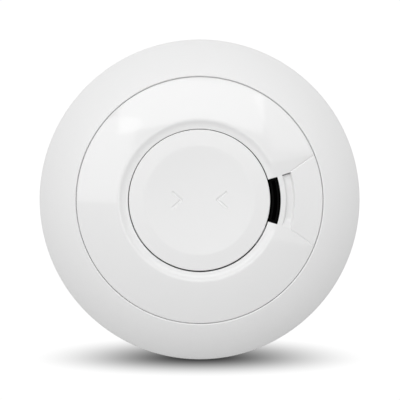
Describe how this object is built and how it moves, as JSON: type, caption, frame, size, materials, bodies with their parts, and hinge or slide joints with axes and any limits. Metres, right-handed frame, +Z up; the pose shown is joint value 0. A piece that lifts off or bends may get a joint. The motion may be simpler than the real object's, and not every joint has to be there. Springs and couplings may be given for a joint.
{
  "type": "heat detector",
  "caption": "Round wall or ceiling heat detector: domed front with a big dished test button, a sound slot and a twist-off mounting plate.",
  "frame": {"origin": "centre of the mounting plate's back face, which lies on the wall or ceiling", "axes": "-Y out of the wall, along the detector's axis, towards the front; +Z up as it hangs on a wall; +X to the right seen from the front, where the sound slot is"},
  "size_m": [0.115, 0.046, 0.115],
  "materials": {
    "white_gloss": "gloss",
    "white_satin": "satin",
    "black_plastic": "matte",
    "screen_steel": "woven",
    "steel": "bright",
    "brass": "satin",
    "board_green": "solder mask",
    "epoxy_black": "matte",
    "sleeve_blue": "gloss",
    "cell_sleeve": "shrink sleeve",
    "ferrite": "matte",
    "red_lens": "clear tinted",
    "red_plastic": "satin",
    "clear_plastic": "clear",
    "epoxy_blue": "dipped epoxy"
  },
  "bodies": {
    "plate": {"mounting_plate": "white_satin"},
    "head": {"rear_housing": "white_satin", "air_inlet_ring": "white_satin", "insect_screen": "screen_steel", "trim_ring": "white_gloss", "front_cover": "white_gloss", "sounder_chassis": "black_plastic", "piezo_disc": "brass", "sounder_cap": "black_plastic", "circuit_board": "board_green", "controller_chip": "epoxy_black", "driver_chip": "epoxy_black", "storage_capacitor": "sleeve_blue", "filter_capacitor": "sleeve_blue", "boost_inductor": "ferrite", "indicator_led": "red_lens", "light_pipe": "clear_plastic", "test_switch": "epoxy_black", "on_off_switch": "steel", "lithium_cell": "cell_sleeve", "cell_tag_positive": "steel", "cell_tag_negative": "steel", "thermistor": "epoxy_blue", "button_spring_1": "steel", "button_spring_2": "steel", "button_spring_3": "steel", "chassis_screw_1": "steel", "chassis_screw_2": "steel", "chassis_screw_3": "steel", "housing_screw_1": "steel", "housing_screw_2": "steel", "housing_screw_3": "steel"},
    "button": {"test_button": "white_gloss"},
    "plunger": {"test_switch_plunger": "black_plastic"},
    "slider": {"on_off_slider": "red_plastic", "on_off_knob": "black_plastic"}
  },
  "joints": [
    {"name": "head_twist", "type": "hinge", "parent": "plate", "child": "head", "pos_m": [0, 0, 0], "axis": [0, -1, 0], "range_deg": [0, 18]},
    {"name": "button_press", "type": "slide", "parent": "head", "child": "button", "axis": [0, 1, 0], "range_m": [0, 0.0012], "stiffness_N_per_m": 2500, "springref_m": -0.0006, "deforming": ["button_spring_1", "button_spring_2", "button_spring_3"]},
    {"name": "plunger_press", "type": "slide", "parent": "head", "child": "plunger", "axis": [0, 1, 0], "range_m": [0, 0.00035]},
    {"name": "on_off_slide", "type": "slide", "parent": "head", "child": "slider", "axis": [1, 0, 0], "range_m": [0, 0.0044]}
  ],
  "couplings": [
    {"joint": "plunger_press", "follows": "button_press", "ratio": 0.25},
    {"joint": "on_off_slide", "follows": "head_twist", "m_per_rad": 0.01394}
  ]
}
